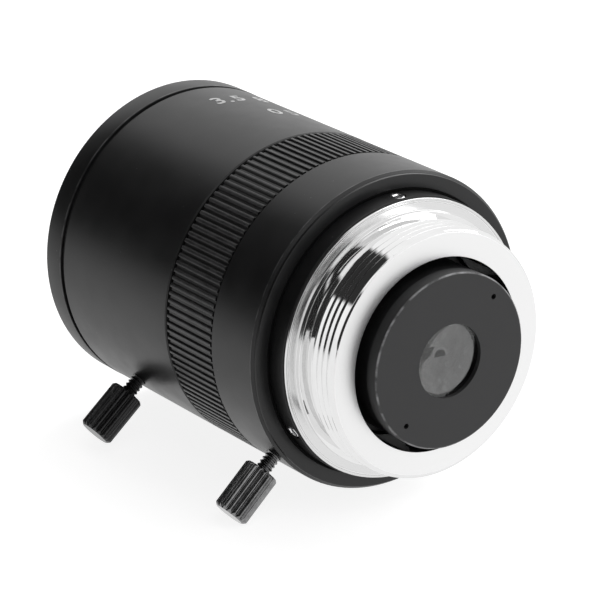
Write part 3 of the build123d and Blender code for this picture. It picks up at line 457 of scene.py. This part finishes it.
# The grub screws: three small steel screws with hexagon sockets, in tapped holes round the collar.
# Each is turned with a chamfered rim, a little dented by the key, and its point grips the spigot.
GRUB_R = 0.8
GRUB_Y = 1.3
GRUB_IN = 12.2
GRUB_OUT = 14.39
GRUB_POINT_R = 0.4
GRUB_RIM = 0.2
GRUB_RIM_ROWS = (4, 5)
GRUB_DENTS = 5
GRUB_DENT = 0.05
SOCKET_R = 0.42
SOCKET_LEAD = 0.1
SOCKET_DEPTH = 0.8
SOCKET_FIRST_ROW = 6
GRUB_STEPS = 36
SOCKET_SIDE = pi / 3
bright_steel = lathed(
    "bright_steel", (0.72, 0.72, 0.73), (0.88, 0.88, 0.89), 0.22, 0.36, 0.004, 9, Metallic=1.0,
)
shape = bmesh.new()
outline = [
    (0, GRUB_IN), (GRUB_POINT_R, GRUB_IN), (GRUB_R, GRUB_IN + GRUB_R - GRUB_POINT_R),
    (GRUB_R, GRUB_OUT - GRUB_RIM), (GRUB_R - GRUB_RIM, GRUB_OUT),
    (SOCKET_R + SOCKET_LEAD, GRUB_OUT), (SOCKET_R, GRUB_OUT - SOCKET_LEAD),
    (SOCKET_R, GRUB_OUT - SOCKET_DEPTH), (0, GRUB_OUT - SOCKET_DEPTH),
]
loops = []
for k, (radius, height) in enumerate(outline):
    loop = []
    for step in range(GRUB_STEPS):
        angle = tau * step / GRUB_STEPS
        in_side = (angle + SOCKET_SIDE / 2) % SOCKET_SIDE - SOCKET_SIDE / 2
        reach = radius * (cos(SOCKET_SIDE / 2) / cos(in_side) if k >= SOCKET_FIRST_ROW else 1)
        reach += GRUB_DENT * sin(GRUB_DENTS * angle + k) if k in GRUB_RIM_ROWS else 0
        across, along = reach * sin(angle), GRUB_Y + reach * cos(angle)
        loop.append(shape.verts.new((across * MM, along * MM, height * MM)))
    loops.append(loop)
for near, far in zip(loops, loops[1:]):
    for k in range(GRUB_STEPS):
        ahead = (k + 1) % GRUB_STEPS
        shape.faces.new((near[k], near[ahead], far[ahead], far[k]))
one_screw = bpy.data.meshes.new("one_screw")
shape.to_mesh(one_screw)
shape.free()

round_axis, given, gives = group(
    "GeometryNodeTree", "copies_round_the_axis",
    {"Piece": "Geometry", "Count": "Int", "Material": "Material"}, {"Copies": "Geometry"},
)
marks = put(round_axis, "GeometryNodeMeshLine", {"Count": given["Count"], "Offset": (0, 0, 0)}).outputs[0]
step = maths(round_axis, "DIVIDE", tau, given["Count"])
turn = maths(round_axis, "MULTIPLY", put(round_axis, "GeometryNodeInputIndex").outputs[0], step)
copies = put(round_axis, "GeometryNodeInstanceOnPoints", {
    "Points": marks, "Instance": given["Piece"],
    "Rotation": put(round_axis, "ShaderNodeCombineXYZ", {1: turn}).outputs[0],
}).outputs[0]
copies = put(round_axis, "GeometryNodeRealizeInstances", {0: copies}).outputs[0]
dressing = {"Geometry": copies, "Material": given["Material"]}
copies = put(round_axis, "GeometryNodeSetMaterial", dressing).outputs[0]
round_axis.links.new(copies, gives["Copies"])
shape = bmesh.new()
shape.from_mesh(grown(round_axis, one_screw, Count=3, Material=bright_steel))
piece("collar_grub_screws", shape, bright_steel, "barrel", "steel", "mount_set_screws", sharp=30)


# The iris ring: black anodised, with 130 straight ridges milled all round it for the fingers.
# It turns on the barrel between the zoom ring and the focus ring. Its black is painted lighter than the
# other rings', and its ridge tops paler still: painted highlights for the light the ridges catch.
RING_BORE_R = 14.56
IRIS_Y = 9.68
IRIS_END_Y = 17.2
RIDGES = 130
RIDGE_DEPTH = 0.22
RIDGE_COLUMNS = RIDGES * 18
# Painted light: lighter than the other rings' black, with a painted highlight along the ridge tops.
milled_black_painted_light = blasted(
    "milled_black_painted_light", (0.016, 0.016, 0.0165), (0.020, 0.020, 0.0205), 0.30, 0.36, 0.001, 14,
    edges=((RING_R, 0, 0.06, 0, 0.05),),
)
shape = bmesh.new()
shape.from_mesh(ridged(
    RING_R, RIDGE_DEPTH, IRIS_Y, IRIS_END_Y, RING_BORE_R, RING_BORE_R, IRIS_END_Y - IRIS_Y, RIDGE_COLUMNS,
    milled_black_painted_light, Ridges_round=float(RIDGES), Crest_share=0.4, Root_share=0.66, Crown=0.16, Roundness=0.05,
))
turned(shape, [(RING_BORE_R, IRIS_Y), (RING_BORE_R, IRIS_END_Y)], RIDGE_COLUMNS, closed=False)
piece("ridged_iris_ring", shape, milled_black_painted_light, "iris_turn", "black_anodised", "iris_ring", sharp=60)


# Painted shade in the joints: a near-black sheet that fills the gaps at both sides of the iris ring
# and round the collar, and stands in for the shade that falls in them. It stands just under the rings'
# surface.
COLLAR_R = 14.4
COLLAR_SHADE_SHEET_R = 14.66
LIP_BACK_Y = 2.5
ZOOM_RING_END_Y = 9.5
FOCUS_RING_Y = 17.5
SHADE_SHEET_IN_R = 15.2
SHADE_SHEET_OUT_R = 16.17
SHADE_SHEET_END_R = 16.2
SHADE_SHEET_THICK = 0.08
SHADE_SHEET_CLEAR = 0.01
COLLAR_SHADE_SHEET_Y = LIP_BACK_Y - SHADE_SHEET_CLEAR - SHADE_SHEET_THICK
RING_CLEAR = 0.015
# Painted shade: near black, matt and barely reflective.
painted_gap_shade = blasted(
    "painted_gap_shade", (0.002, 0.002, 0.002), (0.004, 0.004, 0.004), 0.7, 0.8, 0.002, 5, Specular_IOR_Level=0.1,
)
shape = bmesh.new()
for in_r, out_r, start, end in (
    (COLLAR_R + SHADE_SHEET_CLEAR, COLLAR_SHADE_SHEET_R, COLLAR_SHADE_SHEET_Y, COLLAR_SHADE_SHEET_Y + SHADE_SHEET_THICK),
    (SHADE_SHEET_IN_R, SHADE_SHEET_OUT_R, ZOOM_RING_END_Y + RING_CLEAR, IRIS_Y - SHADE_SHEET_CLEAR),
    (SHADE_SHEET_IN_R, SHADE_SHEET_END_R, IRIS_END_Y + SHADE_SHEET_CLEAR, FOCUS_RING_Y - RING_CLEAR),
):
    turned(shape, eased([(in_r, start), (out_r, start), (out_r, end), (in_r, end)], 0.03), TURNING_STEPS)
piece("painted_joint_shade", shape, painted_gap_shade, "barrel", "black_matt")


# The washer behind the zoom ring: black anodised, turned thin. It is pressed on the ring's rear face,
# covers the barrel's lip, and leaves a narrow dark gap round the collar.
WASHER_BORE_R = 14.68
WASHER_BACK_Y = 2.38
WASHER_FRONT_Y = 2.49
WASHER_STEP_R = 15.4
WASHER_STEP_SLOPE = 0.02
WASHER_OUT_R = RING_R - 0.26
WASHER_BEVEL = 0.06
WASHER_CLEAR = 0.005
RING_BACK_Y = 2.6
shape = bmesh.new()
turned(shape, eased([
    (WASHER_BORE_R, WASHER_BACK_Y), (WASHER_BORE_R, WASHER_FRONT_Y), (WASHER_STEP_R, WASHER_FRONT_Y),
    (WASHER_STEP_R + WASHER_STEP_SLOPE, RING_BACK_Y - WASHER_CLEAR),
    (WASHER_OUT_R, RING_BACK_Y - WASHER_CLEAR), (WASHER_OUT_R - WASHER_BEVEL, WASHER_BACK_Y),
], 0.03), TURNING_STEPS)
piece("zoom_ring_washer", shape, black_anodised, "zoom_turn", "black_anodised")


# The front bezel: black anodised, screwed into the focus ring behind a narrow groove.
# Its bore is threaded for a filter, half a millimetre to the turn.
BEZEL_Y = 36.5
BEZEL_END_Y = 39.76
BEZEL_BORE_R = 15.0
BEZEL_CHAMFER = 0.16
BEZEL_TAIL = 1.6
BEZEL_TAIL_R = 15.6
GROOVE_DEPTH = 0.4
GROOVE_WIDTH = 0.45
FILTER_DEPTH = 0.27
FILTER_PITCH = 0.5
FILTER_LEAD = 0.1
FILTER_Y = 37.0
shape = bmesh.new()
shape.from_mesh(threaded(
    BEZEL_BORE_R, FILTER_DEPTH, FILTER_Y, BEZEL_END_Y - FILTER_LEAD, BEZEL_BORE_R,
    BEZEL_BORE_R + FILTER_DEPTH, FILTER_PITCH, TURNING_STEPS, black_anodised,
    Side=-1.0, Crest_share=0.15, Root_share=0.8, End_chamfer=FILTER_DEPTH,
))
turned(shape, eased([
    (BEZEL_BORE_R, FILTER_Y), (BEZEL_BORE_R, BEZEL_Y - BEZEL_TAIL),
    (BEZEL_TAIL_R, BEZEL_Y - BEZEL_TAIL), (BEZEL_TAIL_R, BEZEL_Y),
    (BEZEL_R - GROOVE_DEPTH, BEZEL_Y), (BEZEL_R - GROOVE_DEPTH, BEZEL_Y + GROOVE_WIDTH),
    (BEZEL_R, BEZEL_Y + GROOVE_WIDTH), (BEZEL_R, BEZEL_END_Y - BEZEL_CHAMFER),
    (BEZEL_R - BEZEL_CHAMFER, BEZEL_END_Y), (BEZEL_BORE_R + FILTER_DEPTH + FILTER_LEAD, BEZEL_END_Y),
    (BEZEL_BORE_R + FILTER_DEPTH, BEZEL_END_Y - FILTER_LEAD),
], 0.08, closed=False), TURNING_STEPS, closed=False)
piece("threaded_front_bezel", shape, black_anodised, "focus_turn", "black_anodised", "front_bezel")


# The ring that holds the front glass: matt black, with stepped baffles down to the glass
# that break up stray light. It screws into the front cell's head.
BAFFLE_OUT_R = 13.9
BAFFLE_RIM_R = 13.5
BAFFLE_FOOT_R = 12.2
BAFFLE_IN_R = 11.5
BAFFLE_FOOT_Y = 35.62
BAFFLE_TOP_Y = 36.92
BAFFLE_IN_Y = 36.2
BAFFLE_LIP = 0.2
BAFFLE_SLOPE = 0.02
BAFFLES = 6
width = (BAFFLE_RIM_R - BAFFLE_IN_R) / BAFFLES
fall = (BAFFLE_TOP_Y - BAFFLE_IN_Y) / BAFFLES
steps = []
for k in range(BAFFLES):
    radius = BAFFLE_RIM_R - k * width
    top = BAFFLE_TOP_Y - k * fall
    steps += [(radius, top), (radius - BAFFLE_SLOPE, top - fall)]
shape = bmesh.new()
turned(shape, eased([
    (BAFFLE_OUT_R, BAFFLE_FOOT_Y), (BAFFLE_OUT_R, BAFFLE_TOP_Y), *steps,
    (BAFFLE_IN_R, BAFFLE_IN_Y), (BAFFLE_IN_R, BAFFLE_IN_Y - BAFFLE_LIP), (BAFFLE_FOOT_R, BAFFLE_FOOT_Y),
], 0.03), TURNING_STEPS)
piece("baffled_lens_ring", shape, black_matt, "front_group", "black_matt", "front_lens_ring")


# The thumb screws: turned steel with straight flutes and a fine thread, blackened on the focus ring
# and left gunmetal grey on the zoom ring. Both point down and to the left.
KNOB_R = 1.845
KNOB_START = 18.2
KNOB_LENGTH = 5.4
FLUTES = 18
FLUTE_DEPTH = 0.28
KNOB_ROW = 0.1
KNOB_CHAMFER = 0.2
KNOB_END_CHAMFER = 0.3
STEM_R = 0.82
STEM_START = 14.56
STEM_LEAD = 0.1
STEM_THREAD_DEPTH = 0.17
STEM_PITCH = 0.42
KNOB_STEPS = FLUTES * 14
gunmetal = lathed("gunmetal", (0.20, 0.20, 0.202), (0.30, 0.30, 0.303), 0.14, 0.22, 0.001, 10, Metallic=1.0)
blackened = lathed(
    "blackened_steel", (0.04, 0.04, 0.041), (0.06, 0.06, 0.061), 0.2, 0.3, 0.001, 10, Metallic=0.7,
)
for name, body, lock_angle, lock_y, slot, material in (
    ("zoom_lock_screw", "zoom_lock", radians(-133), 5.25, "knob_grey", gunmetal),
    ("focus_lock_screw", "focus_lock", radians(-130.5), 28.5, "black_steel", blackened),
):
    shape = bmesh.new()
    shape.from_mesh(ridged(
        KNOB_R, FLUTE_DEPTH, KNOB_START, KNOB_START + KNOB_LENGTH, STEM_R - STEM_LEAD, 0.0, KNOB_ROW,
        KNOB_STEPS, material, Ridges_round=float(FLUTES), Crest_share=0.1, Root_share=0.9,
        Start_chamfer=KNOB_CHAMFER, End_chamfer=KNOB_END_CHAMFER,
    ))
    shape.from_mesh(threaded(
        STEM_R, STEM_THREAD_DEPTH, STEM_START, KNOB_START, 0.0, STEM_R - STEM_LEAD, STEM_PITCH, KNOB_STEPS,
        material, Crest_share=0.1, Root_share=0.9, Start_chamfer=KNOB_CHAMFER, Roundness=0.03,
    ))
    outward = Vector((sin(lock_angle), 0, cos(lock_angle)))
    sideways = Vector((cos(lock_angle), 0, -sin(lock_angle)))
    stand = Matrix((sideways, outward, Vector((0, 1, 0)))).transposed().to_4x4()
    bmesh.ops.transform(shape, matrix=Matrix.Translation((0, lock_y * MM, 0)) @ stand, verts=shape.verts)
    piece("fluted_" + name, shape, material, body, slot, name)


# The print on the focus ring: plain white numbers, screen printed before the ring is fitted.
# The ink is a thin skin that follows the ring's curve, with the tops of the figures to the front.
INK = 0.012
FIGURE_HEIGHT = 1.95
FIGURE_SHARE = 0.7
FIGURE_STEP = 0.2
STROKE = 0.05
HALF_DEPTH = 0.5
FRONT_ROW_Y = 31.55
POINT_Y = 31.4
REAR_ROW_Y = 25.9
white_ink = blasted("white_ink", (0.42, 0.42, 0.42), (0.62, 0.62, 0.62), 0.45, 0.60, 0.001, 16)
shape = bmesh.new()
for figure, y, at_angle in (
    ("3", FRONT_ROW_Y, -0.3), (".", POINT_Y, 3.8), ("5", FRONT_ROW_Y, 8.4), ("8", FRONT_ROW_Y, 18.6),
    ("0", REAR_ROW_Y, 10.9), ("5", REAR_ROW_Y, 18.4),
):
    text = bpy.data.curves.new("figure", "FONT")
    text.body = figure
    text.align_x, text.align_y = "CENTER", "CENTER"
    text.size = FIGURE_HEIGHT / FIGURE_SHARE
    text.offset = STROKE
    text.extrude = HALF_DEPTH
    holder = bpy.data.objects.new("figure", text)
    bpy.context.scene.collection.objects.link(holder)
    mesh = bpy.data.meshes.new_from_object(holder.evaluated_get(bpy.context.evaluated_depsgraph_get()))
    bpy.data.objects.remove(holder)
    printed = bmesh.new()
    printed.from_mesh(mesh)
    cuts = int(FIGURE_HEIGHT / FIGURE_STEP)
    for cut in range(-cuts, cuts + 1):
        faces = printed.verts[:] + printed.edges[:] + printed.faces[:]
        bmesh.ops.bisect_plane(printed, geom=faces, plane_co=(cut * FIGURE_STEP, 0, 0), plane_no=(1, 0, 0))
    for corner in printed.verts:
        angle = radians(at_angle) + corner.co.x / RING_R
        reach = RING_R - INK + 2 * INK * (corner.co.z + HALF_DEPTH)
        corner.co = Vector((reach * sin(angle), y + corner.co.y, reach * cos(angle))) * MM
    bent = bpy.data.meshes.new("bent")
    printed.to_mesh(bent)
    printed.free()
    shape.from_mesh(bent)
piece("ring_numbers", shape, white_ink, "focus_turn", "black_anodised", sharp=30)


# The metal inside: brass follower pins that run in the cam grooves, and blackened iris blades.
# The pins are turned, and the blades are punched from thin sheet.
brass = lathed("brass", (0.55, 0.38, 0.14), (0.68, 0.50, 0.22), 0.22, 0.34, 0.001, 8, Metallic=1.0)
dress(brass, "zoom_drive_pins", "focus_drive_pins", "iris_lever_pin")
blade_steel = lathed(
    "blade_steel", (0.012, 0.012, 0.012), (0.03, 0.03, 0.03), 0.42, 0.55, 0.001, 3, Metallic=0.3,
)
dress(blade_steel, *(f"iris_blade_{k}" for k in range(1, 7)))


# The glass: seven ground and polished elements, coated against reflections.
# The coating leaves each one very slightly tinted, and dust dulls it in a few points.
for name, bending, lenses in (
    ("crown_glass", 1.52, (
        "front_lens", "middle_lens", "inner_lens", "rear_lens_front", "rear_doublet_front",
    )),
    ("flint_glass", 1.80, ("rear_doublet_back", "rear_lens_last")),
):
    glass, tree, shader = finish_of(
        name, Roughness=0.0, IOR=bending, Transmission_Weight=1.0, Metallic=0.0,
    )
    surface = use(tree, grain, Grains_per_mm=6.0, Speck_size=0.03)
    tint = blend(tree, surface["Mottle"], (0.94, 0.95, 0.945), (0.97, 0.98, 0.975))
    tree.links.new(tint, shader.inputs["Base Color"])
    tree.links.new(maths(tree, "MULTIPLY", surface["Speck"], 0.3), shader.inputs["Roughness"])
    dress(glass, *lenses)


# The studio: a wide pale floor at the height that the lens rests on, one large soft box above and to
# the right, and a pale room with three dark parts: the corner at the front left, the far left, and a
# round patch behind the camera.
FLOOR_Z = packed_box[0][2]
FLOOR_HALF = 3.0
FLOOR_PAINT = 0.85
SEEN_PAINT = 0.4
SEEN_GLOW = 0.86
FADING_WAY = (-0.65, 0.76, 0)
floor_mesh = bpy.data.meshes.new("floor")
corners = [(x * FLOOR_HALF, y * FLOOR_HALF, FLOOR_Z) for x, y in ((-1, -1), (1, -1), (1, 1), (-1, 1))]
floor_mesh.from_pydata(corners, [], [(0, 1, 2, 3)])
floor = bpy.data.objects.new("floor", floor_mesh)
bpy.context.scene.collection.objects.link(floor)
pale_floor = bpy.data.materials.new("pale_floor")
pale_floor.use_nodes = True
tree = pale_floor.node_tree
tree.nodes.clear()
rays = put(tree, "ShaderNodeLightPath").outputs
place = put(tree, "ShaderNodeTexCoord").outputs["Object"]
away = vectors(tree, "DOT_PRODUCT", place, FADING_WAY)["Value"]
fading = spread(tree, away, 0.08, 0.4, 0.94, 0.25)
paint = blend(tree, rays["Is Camera Ray"], (FLOOR_PAINT,) * 3, (SEEN_PAINT,) * 3)
matt = put(tree, "ShaderNodeBsdfDiffuse", {"Color": paint}).outputs[0]
glow = maths(tree, "MULTIPLY", rays["Is Camera Ray"], SEEN_GLOW)
lit = put(tree, "ShaderNodeEmission", {"Strength": glow}).outputs[0]
seen = put(tree, "ShaderNodeAddShader", {0: matt, 1: lit}).outputs[0]
mirrored = put(tree, "ShaderNodeEmission", {"Strength": fading}).outputs[0]
in_mirror = maths(tree, "MAXIMUM", rays["Is Glossy Ray"], rays["Is Transmission Ray"])
both = put(tree, "ShaderNodeMixShader", {0: in_mirror, 1: seen, 2: mirrored}).outputs[0]
put(tree, "ShaderNodeOutputMaterial", {"Surface": both})
floor_mesh.materials.append(pale_floor)

BEHIND_CAMERA = (-0.14, -0.86, 0.50)
DARKEST = 0.03
room = bpy.data.worlds.new("room")
bpy.context.scene.world = room
room.use_nodes = True
tree = room.node_tree
tree.nodes.clear()
rays = put(tree, "ShaderNodeLightPath").outputs
direction = put(tree, "ShaderNodeTexCoord").outputs["Generated"]
way = put(tree, "ShaderNodeSeparateXYZ", {0: direction}).outputs
to_left = spread(tree, way["X"], 0.04, -0.14, 0, 1, "SMOOTHSTEP")
to_front = spread(tree, way["Y"], -0.3, -0.1, 0, 1, "SMOOTHSTEP")
above = spread(tree, way["Z"], -0.12, -0.04, 0, 1, "SMOOTHSTEP")
corner = maths(tree, "MULTIPLY", to_left, to_front)
far_left = spread(tree, way["X"], -0.42, -0.5, 0, 1, "SMOOTHSTEP")
side = maths(tree, "MULTIPLY", maths(tree, "MAXIMUM", corner, far_left), above)
from_camera = vectors(tree, "DISTANCE", direction, BEHIND_CAMERA)["Value"]
behind = spread(tree, from_camera, 0.30, 0.25, 0, 1, "SMOOTHSTEP")
gloom = maths(tree, "MAXIMUM", side, behind)
shade = spread(tree, gloom, 0, 1, 1.0, DARKEST)
seen_room = maths(tree, "MAXIMUM", shade, rays["Is Camera Ray"])
air = put(tree, "ShaderNodeBackground", {"Color": (1, 1, 1, 1), "Strength": seen_room}).outputs[0]
put(tree, "ShaderNodeOutputWorld", {"Surface": air})

SOFT_BOX_SIZE = 0.45
SOFT_BOX_POWER = 1.6
SOFT_BOX_AT = Vector((0.36, 0.10, 0.42))
LENS_MIDDLE = Vector((0, 0.015, 0))
lamp = bpy.data.lights.new("soft_box", "AREA")
lamp.shape = "SQUARE"
lamp.size = SOFT_BOX_SIZE
lamp.energy = SOFT_BOX_POWER
holder = bpy.data.objects.new("soft_box", lamp)
holder.location = SOFT_BOX_AT
holder.rotation_euler = (LENS_MIDDLE - SOFT_BOX_AT).to_track_quat("-Z", "Y").to_euler()
holder.visible_camera = False
bpy.context.scene.collection.objects.link(holder)


# The camera: behind the mount, to the left and above, as the lens is seen in the photograph.
CAMERA_AT = Vector((-0.1857, -0.2398, 0.1185))
CAMERA_RIGHT = Vector((0.8108, -0.5854, 0.0))
CAMERA_UP = Vector((0.2068, 0.2863, 0.9356))
PICTURE_PIXELS = 600
FOCAL_PIXELS = 3338
camera = bpy.data.cameras.new("camera")
camera.sensor_width = 36
camera.lens = FOCAL_PIXELS / PICTURE_PIXELS * camera.sensor_width
camera.clip_start = 0.01
holder = bpy.data.objects.new("camera", camera)
turned_to = Matrix((CAMERA_RIGHT, CAMERA_UP, CAMERA_RIGHT.cross(CAMERA_UP))).transposed()
holder.matrix_world = Matrix.Translation(CAMERA_AT) @ turned_to.to_4x4()
bpy.context.scene.collection.objects.link(holder)
bpy.context.scene.camera = holder
bpy.context.scene.view_settings.view_transform = "Standard"
